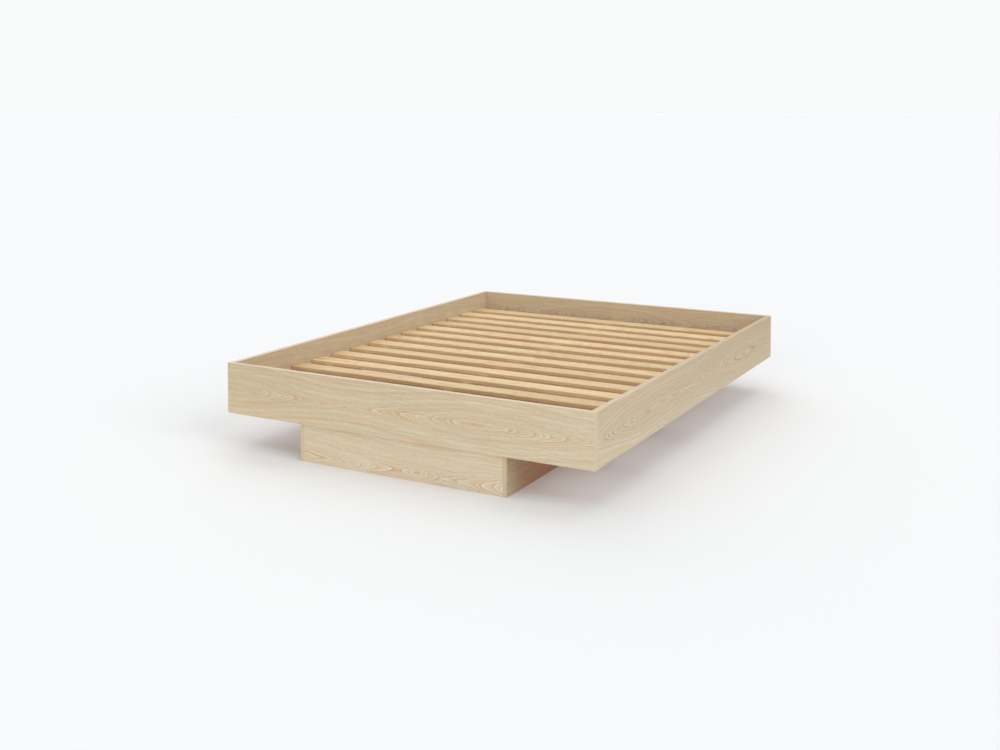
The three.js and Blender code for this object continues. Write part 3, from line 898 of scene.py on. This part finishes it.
class Rows:
    """The Geometry Nodes trees, each built once."""

    def __init__(self) -> None:
        """Builds both trees."""
        self.slats = self._slats()
        self.fixings = self._fixings()

    @staticmethod
    def _finish(sheet: Sheet, gives: Any, geometry: NodeSocket, material: NodeSocket) -> NodeTree:
        """Ends a tree with Set Material and returns it."""
        inputs = {"Geometry": geometry, "Material": material}
        sheet.feed(gives["Geometry"], sheet.get("GeometryNodeSetMaterial", inputs))
        return sheet.tree

    @classmethod
    def _slats(cls) -> NodeTree:
        """A row of slats along Y, each with a rounded section, its own grain and a small shift.

        Returns:
            The tree.
        """
        sheet, takes, gives = new_group(
            "slat_row", "Geometry",
            {"Geometry": "NodeSocketGeometry", "Count": 14, "Length": 1.54, "Width": 0.075,
             "Thickness": 0.018, "Edge Radius": 0.003, "First": (0.0, 0.0, 0.0), "Pitch": 0.14,
             "Shift": 0.0006, "Seed": 3, "Wood": "NodeSocketMaterial"},
            "Geometry")
        half, shift, seed = sheet.times(takes["Length"], 0.5), takes["Shift"], takes["Seed"]
        spine = sheet.get("GeometryNodeMeshLine", {
            "Count": 2, "Start Location": sheet.vector(sheet.times(half, -1.0), 0.0, 0.0),
            "Offset": sheet.vector(half, 0.0, 0.0)}, mode="END_POINTS")
        section = sheet.get("GeometryNodeCurvePrimitiveQuadrilateral", {
            "Width": takes["Width"], "Height": takes["Thickness"]}, mode="RECTANGLE")
        rounded = sheet.get("GeometryNodeFilletCurve", {
            0: section, "Count": 4, "Radius": takes["Edge Radius"]}, mode="POLY")
        slat = sheet.get("GeometryNodeCurveToMesh", {
            "Curve": sheet.get("GeometryNodeMeshToCurve", {0: spine}), "Profile Curve": rounded,
            "Fill Caps": True})
        slat = sheet.store(slat, "grain", sheet.get("GeometryNodeInputPosition"))

        row = sheet.get("GeometryNodeMeshLine", {
            "Count": takes["Count"], "Start Location": takes["First"],
            "Offset": sheet.vector(0.0, takes["Pitch"], 0.0)}, mode="OFFSET")
        moves = sheet.get("FunctionNodeRandomValue", {
            "Seed": seed, "Min": sheet.vector(0.0, sheet.times(shift, -1.0), 0.0),
            "Max": sheet.vector(0.0, shift, 0.0)}, data_type="FLOAT_VECTOR")
        row = sheet.get("GeometryNodeSetPosition", {"Geometry": row, "Offset": moves})
        row = sheet.get("GeometryNodeInstanceOnPoints", {"Points": row, "Instance": slat})
        row = sheet.store(row, "leaf", sheet.get("GeometryNodeInputIndex"), "FLOAT", "INSTANCE")
        row = sheet.get("GeometryNodeRealizeInstances", {0: row})

        # Each slat has its own place in the log, its own run through the rings and its own tone.
        leaf, old = sheet.recall("leaf", "FLOAT"), sheet.recall("grain", "FLOAT_VECTOR")
        for step, (name, low, high) in enumerate((
                ("grain", (0.0, -0.05, -0.03), (1.5, 0.05, 0.01)),
                ("cut", (0.02, 0.006, -0.03), (0.06, 0.024, 0.03)),
                ("look", (0.93, 0.8, 0.0), (1.08, 1.0, 0.0)))):
            value = sheet.get("FunctionNodeRandomValue", {
                "Min": low, "Max": high, "ID": leaf, "Seed": sheet.plus(seed, float(step))},
                data_type="FLOAT_VECTOR")
            if name == "grain":
                value = sheet.vectors("ADD", old, value)
            row = sheet.store(row, name, value)
        return cls._finish(sheet, gives, row, takes["Wood"])

    @classmethod
    def _fixings(cls) -> NodeTree:
        """A copy of one fixing on each point, turned to the point's aim and spun at random.

        Returns:
            The tree.
        """
        sheet, takes, gives = new_group(
            "fixings_on_points", "Geometry",
            {"Geometry": "NodeSocketGeometry", "Fixing": "NodeSocketObject", "Spin": math.pi,
             "Seed": 11, "Metal": "NodeSocketMaterial"},
            "Geometry")
        points = sheet.get("GeometryNodeMeshToPoints", {0: takes["Geometry"]})
        faced = sheet.get("FunctionNodeAlignRotationToVector", {
            "Vector": sheet.recall("aim", "FLOAT_VECTOR")}, axis="Z")
        spin = sheet.get("FunctionNodeRandomValue", {
            "Min": sheet.times(takes["Spin"], -1.0), "Max": takes["Spin"], "Seed": takes["Seed"]},
            1, data_type="FLOAT")
        turn = sheet.get("FunctionNodeAxisAngleToRotation", {"Axis": (0.0, 0.0, 1.0), "Angle": spin})
        faced = sheet.get("FunctionNodeRotateRotation", {0: faced, 1: turn}, rotation_space="LOCAL")
        shape = sheet.get("GeometryNodeObjectInfo", {"Object": takes["Fixing"]}, "Geometry",
                          transform_space="ORIGINAL")
        copies = sheet.get("GeometryNodeInstanceOnPoints", {
            "Points": points, "Instance": shape, "Rotation": faced})
        real = sheet.get("GeometryNodeRealizeInstances", {0: copies})
        return cls._finish(sheet, gives, real, takes["Metal"])


def turned(profile: Sequence[tuple[float, float]], segments: int) -> bmesh.types.BMesh:
    """Turns a profile about Z into a closed shape.

    Args:
        profile: Radius and height of each point, starting and ending on the axis.
        segments: How many facets it has round the axis.

    Returns:
        The shape, with its faces pointing out.
    """
    bm = bmesh.new()
    line = [bm.verts.new((radius, 0.0, height)) for radius, height in profile]
    edges = [bm.edges.new(pair) for pair in zip(line, line[1:])]
    bmesh.ops.spin(bm, geom=line + edges, cent=(0, 0, 0), axis=(0, 0, 1), angle=math.tau,
                   steps=segments, use_merge=True)
    bmesh.ops.remove_doubles(bm, verts=bm.verts, dist=0.001 * MM)
    bmesh.ops.recalc_face_normals(bm, faces=bm.faces)
    return bm


def cut_from(bm: bmesh.types.BMesh, cutter: bmesh.types.BMesh, name: str) -> Mesh:
    """Cuts one closed shape out of another.

    Args:
        bm: The shape to keep.
        cutter: The shape to take away.
        name: The new mesh's name.

    Returns:
        The cut mesh.
    """
    keep, tool = link(to_mesh(bm, name), name), link(to_mesh(cutter, name), f"{name}_cutter")
    cut = keep.modifiers.new("cut", "BOOLEAN")
    cut.operation = "DIFFERENCE"
    cut.solver = "EXACT"
    cut.use_self = True
    cut.object = tool
    bake_modifiers(keep)
    mesh = keep.data
    mesh.shade_smooth()
    mesh.set_sharp_from_angle(angle=math.radians(35))
    bpy.data.objects.remove(keep)
    bpy.data.objects.remove(tool)
    return mesh


@dataclass
class Fixing:
    """A small metal piece set on many points, drawn with +Z out of the surface.

    Attributes:
        name: The piece's name.
        mesh: One copy's mesh.
        slot: Its finish.
        spin: How far a copy may be turned about its own axis, in radians.
        places: Where each copy sits on the surface, and the direction out of it.
    """

    name: str
    mesh: Mesh
    slot: Slot = Slot.ZINC
    spin: float = math.pi
    places: list[tuple[Vector, Vector]] = field(default_factory=list)

    def at(self, place: Iterable[float], aim: Iterable[float]) -> None:
        """Adds a copy at a place, with the direction out of the surface."""
        self.places.append((Vector(place), Vector(aim)))

    def build(self, rows: Rows, paints: Paints, *nodes: str) -> None:
        """Sets the copies on the points as one piece.

        Args:
            rows: The Geometry Nodes trees.
            paints: The materials.
            nodes: The CAD nodes that the copies stand for.
        """
        points = bpy.data.meshes.new(self.name)
        points.from_pydata([place for place, _ in self.places], [], [])
        write_mark(points, "aim", [aim for _, aim in self.places])
        sample = link(self.mesh, f"{self.name}_sample")
        piece = run_tree(rows.fixings, points, {
            "Fixing": sample, "Spin": self.spin, "Metal": paints[self.slot]})
        bpy.data.objects.remove(sample)
        deliver(piece, self.slot, paints, *nodes)


def wood_screw() -> Mesh:
    """Draws a countersunk screw's head with a cross recess.

    Returns:
        The mesh. Its rim stands 0.25 mm out of the surface and its cone goes 2 mm in.
    """
    head, rise, crown, sunk = 3.6 * MM, 0.25 * MM, 0.45 * MM, 2 * MM
    screw = turned(((0.0, crown), (head * 0.6, crown * 0.8), (head * 0.93, rise), (head, rise * 0.3),
                    (head * 0.5, -sunk), (0.0, -sunk)), 20)
    cross = bmesh.new()
    for turn in (0.0, math.pi / 2):
        # The arms' widths differ by a hair, so that no two of their faces are in one plane.
        add_box(cross, Vector(), Vector((head * 1.1, (0.85 + turn * 0.01) * MM, sunk)), turn)
    return cut_from(screw, cross, "wood_screw")


def staple() -> Mesh:
    """Draws a staple's crown, 11 mm long along X, with its ends turned in.

    Returns:
        The mesh.
    """
    bm = bmesh.new()
    add_box(bm, Vector((0, 0, 0.35)) * MM, Vector((11, 1.1, 0.7)) * MM)
    for x in (-5.2, 5.2):
        add_box(bm, Vector((x, 0, -0.3)) * MM, Vector((0.7, 1.1, 0.8)) * MM)
    return to_mesh(bm, "staple")


def socket_bolt(reach: float) -> Mesh:
    """Draws a button-head bolt with a hexagon socket, the underside of its head at 0.

    Args:
        reach: Length of its shank.

    Returns:
        The mesh.
    """
    head, height, shank, chamfer, socket_radius = 6 * MM, 2.85 * MM, 3 * MM, 0.8 * MM, 2.3 * MM
    dome = [(head * math.sin(a), height * math.cos(a)) for a in np.radians((28, 50, 68, 82))]
    bolt = turned(((0.0, height * 0.9), *dome, (head, 0.0), (shank, 0.0), (shank, 1 * MM - reach),
                   (shank - chamfer, -reach), (0.0, -reach)), 32)
    socket = bmesh.new()
    bmesh.ops.create_cone(socket, cap_ends=True, segments=6, radius1=socket_radius,
                          radius2=socket_radius, depth=3.4 * MM,
                          matrix=Matrix.Translation((0, 0, height)))
    return cut_from(bolt, socket, "socket_bolt")


# Sub-assemblies


def nodes_like(*starts: str) -> list[str]:
    """The CAD nodes whose names start so, in order."""
    return sorted(name for name in NODES if name.startswith(starts))


def inward(node: str, axis: int, sign: float, depth: float = 0.0) -> float:
    """Finds a place in from a node's face.

    Args:
        node: The CAD node.
        axis: 0 for X, 1 for Y.
        sign: Positive for the face on the axis's positive side, negative for the other.
        depth: How far in from the face.

    Returns:
        The place along the axis.
    """
    low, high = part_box(node)
    return high[axis] - depth if sign > 0 else low[axis] + depth


@dataclass
class RailBox:
    """The four veneered rails. The end rails cap the side rails' ends."""

    leaves: dict[str, Leaf] = field(default_factory=lambda: {
        # Painted light falloff: the foot rail gets paler toward its right end and toward its bottom.
        "foot_rail": Leaf(1.0, pith=-0.003, blunt=0.02, tone=0.99, fade=(0.08, -0.03)),
        "head_rail": Leaf(2.0, pith=0.02, lead=0.31, turned=True, tone=0.93),
        "side_rail_left": Leaf(3.0, pith=-0.01, blunt=0.03, swing=0.014, slope=-0.04, lead=0.5,
                               turned=True),
        # Painted light falloff: the right side rail gets darker toward the head and toward the top.
        "side_rail_right": Leaf(4.0, pith=-0.003, blunt=0.028, swing=0.0146, slope=-0.04, lead=0.78,
                                tone=0.94, fade=(-0.13, -0.12), figure=1.15),
    })

    def build(self, paints: Paints) -> None:
        """Builds the rails."""
        for node, leaf in self.leaves.items():
            Board(node, leaf).build(paints)


@dataclass
class Plinth:
    """The set-back plinth: veneered boards outside, pine dividers and glue blocks inside."""

    arris: float = 1.2 * MM
    leaves: dict[str, Leaf] = field(default_factory=lambda: {
        "plinth_side_left": Leaf(7.0, pith=0.01, lead=0.2),
        # The right side's lower tone is painted shade: it darkens and warms the board where it stands
        # under the overhang.
        "plinth_side_right": Leaf(5.0, pith=-0.01, swing=0.015, slope=-0.03, tone=0.92),
        "plinth_front": Leaf(PLINTH_FRONT_LEAF, pith=-0.045, tone=1.1, figure=1.3),
        "plinth_back": Leaf(8.0, pith=-0.02, lead=0.6),
    })

    def build(self, paints: Paints) -> None:
        """Builds the boards, dividers and blocks.

        Args:
            paints: The materials.
        """
        for node, leaf in self.leaves.items():
            Board(node, leaf).build(paints)
        for number, node in enumerate(nodes_like("plinth_divider", "plinth_block")):
            leaf = Leaf(30.0 + number, pith=0.012 * (number % 3), blunt=0.04)
            Board(node, leaf, Slot.PINE, self.arris, banded=False).build(paints)


@dataclass
class Understructure:
    """The bearers, ledgers and centre beam that carry the slats, with the beam's steel shoes."""

    arris: float = 1.6 * MM
    shoe_edge: float = 0.5 * MM

    def build(self, paints: Paints) -> None:
        """Builds the pine members and the shoes.

        Args:
            paints: The materials.
        """
        for number, node in enumerate(nodes_like("cross_bearer", "ledger", "centre_beam")):
            leaf = Leaf(50.0 + number, pith=0.03 - 0.011 * (number % 5), blunt=0.04, swing=0.016,
                        slope=0.012, lead=0.17 * number, turned=number % 2 == 1)
            Board(node, leaf, Slot.PINE, self.arris, banded=False).build(paints)
        for _, end in ENDS:
            dressed_copy(f"beam_shoe_{end}", "folded", self.shoe_edge, paints)


@dataclass
class SlatDeck:
    """The slats and the woven tapes that keep them apart. A slat may lie a shift off its even place."""

    edge_radius: float = 3 * MM
    shift: float = 0.5 * MM
    seed: int = 4
    tape_thickness: float = 0.9 * MM
    tape_gap: float = 0.02 * MM
    tape_sag: float = 0.45 * MM
    tape_steps: int = 200

    def build(self, rows: Rows, paints: Paints) -> None:
        """Builds the row of slats and both tapes.

        Args:
            rows: The Geometry Nodes trees.
            paints: The materials.
        """
        nodes = nodes_like("slat_0", "slat_1")
        first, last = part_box(nodes[0]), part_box(nodes[-1])
        size = first[1] - first[0]
        start, stop = (first[0] + first[1]) / 2, (last[0] + last[1]) / 2
        slats = run_tree(rows.slats, bpy.data.meshes.new("slats"), {
            "Count": len(nodes), "Length": size.x, "Width": size.y, "Thickness": size.z,
            "Edge Radius": self.edge_radius, "First": start,
            "Pitch": (stop.y - start.y) / (len(nodes) - 1), "Shift": self.shift,
            "Seed": self.seed, "Wood": paints[Slot.PINE],
        })
        smooth_rounds(slats.data)
        deliver(slats, Slot.PINE, paints, *nodes)
        for _, side in SIDES:
            self._tape(f"slat_tape_{side}", paints)

    def _tape(self, node: str, paints: Paints) -> None:
        """Builds one tape, with a hair of sag that comes and goes along it.

        Args:
            node: The tape's CAD node.
            paints: The materials.
        """
        low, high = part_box(node)
        bm = bmesh.new()
        rings = []
        for i in range(self.tape_steps + 1):
            share = i / self.tape_steps
            y = low.y + (high.y - low.y) * share
            sag = self.tape_sag * (0.5 + 0.5 * math.sin(i * 0.9)) * math.sin(math.pi * share)
            top = high.z - self.tape_gap - sag
            bottom = top - self.tape_thickness
            section = ((low.x, top), (high.x, top), (high.x, bottom), (low.x, bottom))
            rings.append([bm.verts.new((x, y, z)) for x, z in section])
        for before, after in zip(rings, rings[1:]):
            for one, two in ((0, 1), (1, 2), (2, 3), (3, 0)):
                bm.faces.new((before[one], before[two], after[two], after[one]))
        bm.faces.new(rings[0][::-1])
        bm.faces.new(rings[-1])
        bmesh.ops.recalc_face_normals(bm, faces=bm.faces)
        deliver(link(to_mesh(bm, node), f"woven_{node}"), Slot.TAPE, paints, node)


@dataclass
class CornerHardware:
    """The steel angles inside the corners, their bolts, and the dowels in the rails' ends."""

    edge: float = 0.5 * MM

    def build(self, rows: Rows, paints: Paints) -> None:
        """Builds the angles and bolts, and dresses the dowels.

        Args:
            rows: The Geometry Nodes trees.
            paints: The materials.
        """
        names: list[str] = []
        spots: list[tuple[Vector, Vector]] = []
        for end, side, corner in CORNERS:
            bracket = f"corner_bracket_{corner}"
            dressed_copy(bracket, "steel", self.edge, paints)
            for axis, kind, sign in ((0, "side", side.value), (1, "end", end.value)):
                names.append(f"{kind}_bolt_{corner}")
                low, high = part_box(names[-1])
                seat, out = (low + high) / 2, Vector()
                out[axis] = sign
                seat[axis] = inward(bracket, axis, sign, BRACKET_SHEET)
                reach = abs(inward(names[-1], axis, sign) - seat[axis])
                spots.append((seat, -out))
        bolts = Fixing("corner_bolts", socket_bolt(reach), Slot.BLACK, places=spots)
        bolts.build(rows, paints, *names)
        for name in nodes_like("dowel"):
            NODES[name].data.materials.clear()
            NODES[name].data.materials.append(paints[Slot.BEECH])


@dataclass
class Fixings:
    """The wood screws and staples. They have no CAD nodes.

    An inset is from a piece's edge, and aside is off a leg's or a slat's middle.
    """

    ledger_pitch: float = 195 * MM
    bracket_inset: float = 14 * MM
    bracket_aside: float = 4 * MM
    shoe_inset: float = 9 * MM
    staple_aside: float = 18 * MM
    staple_drop: float = 1.3 * MM
    staple_spin: float = 0.12

    def build(self, rows: Rows, paints: Paints) -> None:
        """Sets every screw and staple.

        Args:
            rows: The Geometry Nodes trees.
            paints: The materials.
        """
        screws = Fixing("wood_screws", wood_screw())
        self._ledger_screws(screws)
        self._bearer_screws(screws)
        self._bracket_screws(screws)
        self._shoe_screws(screws)
        self._block_screws(screws)
        screws.build(rows, paints)
        staples = Fixing("tape_staples", staple(), spin=self.staple_spin)
        self._tape_staples(staples)
        staples.build(rows, paints)

    def _ledger_screws(self, screws: Fixing) -> None:
        """Adds a row of screws through each ledger into its rail.

        Args:
            screws: Takes the screws.
        """
        for side, name in SIDES:
            ledger = f"ledger_{name}"
            low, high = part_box(ledger)
            count = round((high.y - low.y) / self.ledger_pitch)
            for i in range(count):
                y = low.y + (high.y - low.y) * (i + 0.5) / count
                z = low.z + (high.z - low.z) * (0.36 if i % 2 else 0.64)
                screws.at((inward(ledger, 0, -side.value), y, z), (-side.value, 0, 0))

    def _bearer_screws(self, screws: Fixing) -> None:
        """Adds a screw down through each bearer into each plinth side.

        Args:
            screws: Takes the screws.
        """
        for bearer in nodes_like("cross_bearer"):
            low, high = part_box(bearer)
            for _, side in SIDES:
                rim_low, rim_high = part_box(f"plinth_side_{side}")
                screws.at(((rim_low.x + rim_high.x) / 2, (low.y + high.y) / 2, high.z), (0, 0, 1))

    def _bracket_screws(self, screws: Fixing) -> None:
        """Adds a wood screw on each leg of each steel angle.

        Args:
            screws: Takes the screws.
        """
        for end, side, corner in CORNERS:
            node = f"corner_bracket_{corner}"
            low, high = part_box(node)
            middle = (low + high) / 2
            screws.at((inward(node, 0, side.value, BRACKET_SHEET),
                       middle.y - end.value * self.bracket_aside, low.z + self.bracket_inset),
                      (-side.value, 0, 0))
            screws.at((middle.x - side.value * self.bracket_aside,
                       inward(node, 1, end.value, BRACKET_SHEET), high.z - self.bracket_inset),
                      (0, -end.value, 0))

    def _shoe_screws(self, screws: Fixing) -> None:
        """Adds two screws in each flange of the beam's shoes.

        Args:
            screws: Takes the screws.
        """
        for end, name in ENDS:
            node = f"beam_shoe_{name}"
            low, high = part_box(node)
            for x in (low.x + self.shoe_inset, high.x - self.shoe_inset):
                for z in (low.z + self.shoe_inset, high.z - self.shoe_inset):
                    screws.at((x, inward(node, 1, end.value, SHOE_SHEET), z), (0, -end.value, 0))

    def _block_screws(self, screws: Fixing) -> None:
        """Adds two screws in each glue block of the plinth, one into each board.

        Args:
            screws: Takes the screws.
        """
        for end, side, corner in CORNERS:
            node = f"plinth_block_{corner}"
            low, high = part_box(node)
            x, y, z = (low + high) / 2
            rise = (high.z - low.z) * 0.22
            screws.at((inward(node, 0, -side.value), y, z - rise), (-side.value, 0, 0))
            screws.at((x, inward(node, 1, -end.value), z + rise), (0, -end.value, 0))

    def _tape_staples(self, staples: Fixing) -> None:
        """Adds two staples where each slat crosses each tape, driven up from below.

        Args:
            staples: Takes the staples.
        """
        for _, side in SIDES:
            low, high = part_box(f"slat_tape_{side}")
            for slat in nodes_like("slat_0", "slat_1"):
                slat_low, slat_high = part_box(slat)
                middle = (slat_low.y + slat_high.y) / 2
                for y in (middle - self.staple_aside, middle + self.staple_aside):
                    staples.at(((low.x + high.x) / 2, y, high.z - self.staple_drop), (0, 0, -1))


# Studio


@dataclass(frozen=True)
class Softlight:
    """A far, wide light, which lights the whole floor evenly.

    Attributes:
        name: The light's name.
        toward: The direction from the bed to the light.
        softness: How wide the light looks, in degrees.
        power: How strongly it lights a face that looks straight at it; 1 shows a white face white.
        colour: Its colour.
    """

    name: str
    toward: tuple[float, float, float]
    softness: float
    power: float
    colour: tuple[float, float, float] = (1.0, 1.0, 1.0)

    def hang(self) -> None:
        """Adds the light."""
        light = bpy.data.lights.new(self.name, "SUN")
        light.angle = math.radians(self.softness)
        light.energy = self.power * math.pi
        light.color = self.colour
        lamp = link(light, self.name)
        lamp.rotation_euler = Vector(self.toward).to_track_quat("Z", "Y").to_euler()


@dataclass
class Studio:
    """A plain pale floor, plain soft light, and the camera.

    Below the bed, light meets the floor in below_tone, out to below_reach as a share of the bed's half
    width and half length. The camera looks heading radians to the left of +Y. It stands aside to the
    left of the bed's near corner, away before it and eye above the floor.
    """

    floor_size: float = 400.0
    floor_tone: tuple[float, float, float] = (0.79, 0.79, 0.79)
    below_tone: tuple[float, float, float] = (0.60, 0.06, 0.0)
    below_reach: tuple[float, float] = (1.1, 0.98)
    backdrop: tuple[float, float, float] = (0.947, 0.956, 0.956)
    sky: tuple[float, float, float] = (0.97, 0.985, 1.0)
    sky_low: float = 0.27
    sky_high: float = 0.72
    lights: tuple[Softlight, ...] = (
        Softlight("front_softlight", (0.05, -1.0, 0.13), 34.0, 0.385, (1.0, 0.99, 0.975)),
        Softlight("right_softlight", (1.0, -0.28, 0.56), 38.0, 0.35, (0.94, 0.98, 1.0)),
        Softlight("back_softlight", (-0.7, 0.75, 0.5), 50.0, 0.23),
        Softlight("top_softlight", (0.0, 0.1, 1.0), 60.0, 0.23),
    )
    lens: float = 43.13
    shift: tuple[float, float] = (0.01, -0.20)
    heading: float = 0.506
    pitch_down: float = math.radians(3.39)
    aside: float = 0.350
    away: float = 3.928
    eye: float = 1.374

    def build(self) -> None:
        """Adds the camera, the air, the lights and the floor."""
        self._camera()
        self._air()
        for light in self.lights:
            light.hang()
        self._floor()
        bpy.context.scene.view_settings.view_transform = "Standard"
        bpy.context.scene.view_settings.look = "None"

    def _camera(self) -> None:
        """Places the camera by its distance from the bed's near corner, level across its view."""
        forward = Vector((-math.sin(self.heading), math.cos(self.heading), 0.0))
        right = Vector((math.cos(self.heading), math.sin(self.heading), 0.0))
        corner = Vector((CAD_BOUNDS[1].x, CAD_BOUNDS[0].y, 0.0))
        place = corner - right * self.aside - forward * self.away
        place.z = self.eye
        look = forward * math.cos(self.pitch_down) - Vector((0, 0, math.sin(self.pitch_down)))
        data = bpy.data.cameras.new("camera")
        data.sensor_width = 36.0
        data.lens = self.lens
        data.shift_x, data.shift_y = self.shift
        data.clip_end = 200.0
        camera = link(data, "camera")
        camera.location = place
        camera.rotation_euler = look.to_track_quat("-Z", "Y").to_euler()
        bpy.context.scene.camera = camera

    def _air(self) -> None:
        """Fills the air with soft light that is stronger overhead, behind an even backdrop."""
        world = bpy.data.worlds.new("studio_air")
        bpy.context.scene.world = world
        world.use_nodes = True
        sheet = Sheet(world.node_tree)
        direction = sheet.split(sheet.get("ShaderNodeTexCoord", output="Generated"))
        rise = sheet.between(direction[2], 0.0, 0.6)
        power = sheet.line(rise, self.sky_high - self.sky_low, self.sky_low)
        lit = sheet.vectors("MULTIPLY", self.sky, sheet.vector(power, power, power))
        seen = sheet.get("ShaderNodeLightPath", output="Is Camera Ray")
        back = world.node_tree.nodes["Background"].inputs["Color"]
        sheet.feed(back, sheet.blend(seen, lit, (*self.backdrop, 1)))

    def _floor(self) -> None:
        """Lays the floor. The light that it sends up from below the bed is warm, as off wood."""
        bm = bmesh.new()
        bmesh.ops.create_grid(bm, x_segments=1, y_segments=1, size=self.floor_size / 2)
        floor = link(to_mesh(bm, "floor"), "floor")
        material = bpy.data.materials.new("studio_floor")
        material.use_nodes = True
        sheet = Sheet(material.node_tree)
        shader = material.node_tree.nodes["Principled BSDF"].inputs
        shader["Roughness"].default_value = 1.0
        shader["Specular IOR Level"].default_value = 0.0
        place = sheet.split(sheet.place())
        x, y = (sheet.math("DIVIDE", sheet.math("ABSOLUTE", place[axis]), CAD_BOUNDS[1][axis] * reach)
                for axis, reach in enumerate(self.below_reach))
        below = sheet.between(sheet.math("MAXIMUM", x, y), 1.0, 0.76)
        seen = sheet.get("ShaderNodeLightPath", output="Is Camera Ray")
        share = sheet.times(below, sheet.math("SUBTRACT", 1.0, seen))
        colour = sheet.blend(share, (*self.floor_tone, 1), (*self.below_tone, 1))
        sheet.feed(shader["Base Color"], colour)
        floor.data.materials.append(material)


def main() -> None:
    """Builds the studio and each sub-assembly in order, and reports each piece."""
    logging.basicConfig(level=logging.INFO, format="%(message)s")
    Studio().build()
    effects, rows = Effects(), Rows()
    paints = {finish.slot: finish.make(effects) for finish in FINISHES}
    RailBox().build(paints)
    Plinth().build(paints)
    Understructure().build(paints)
    SlatDeck().build(rows, paints)
    CornerHardware().build(rows, paints)
    Fixings().build(rows, paints)


if __name__ == "__main__":
    main()
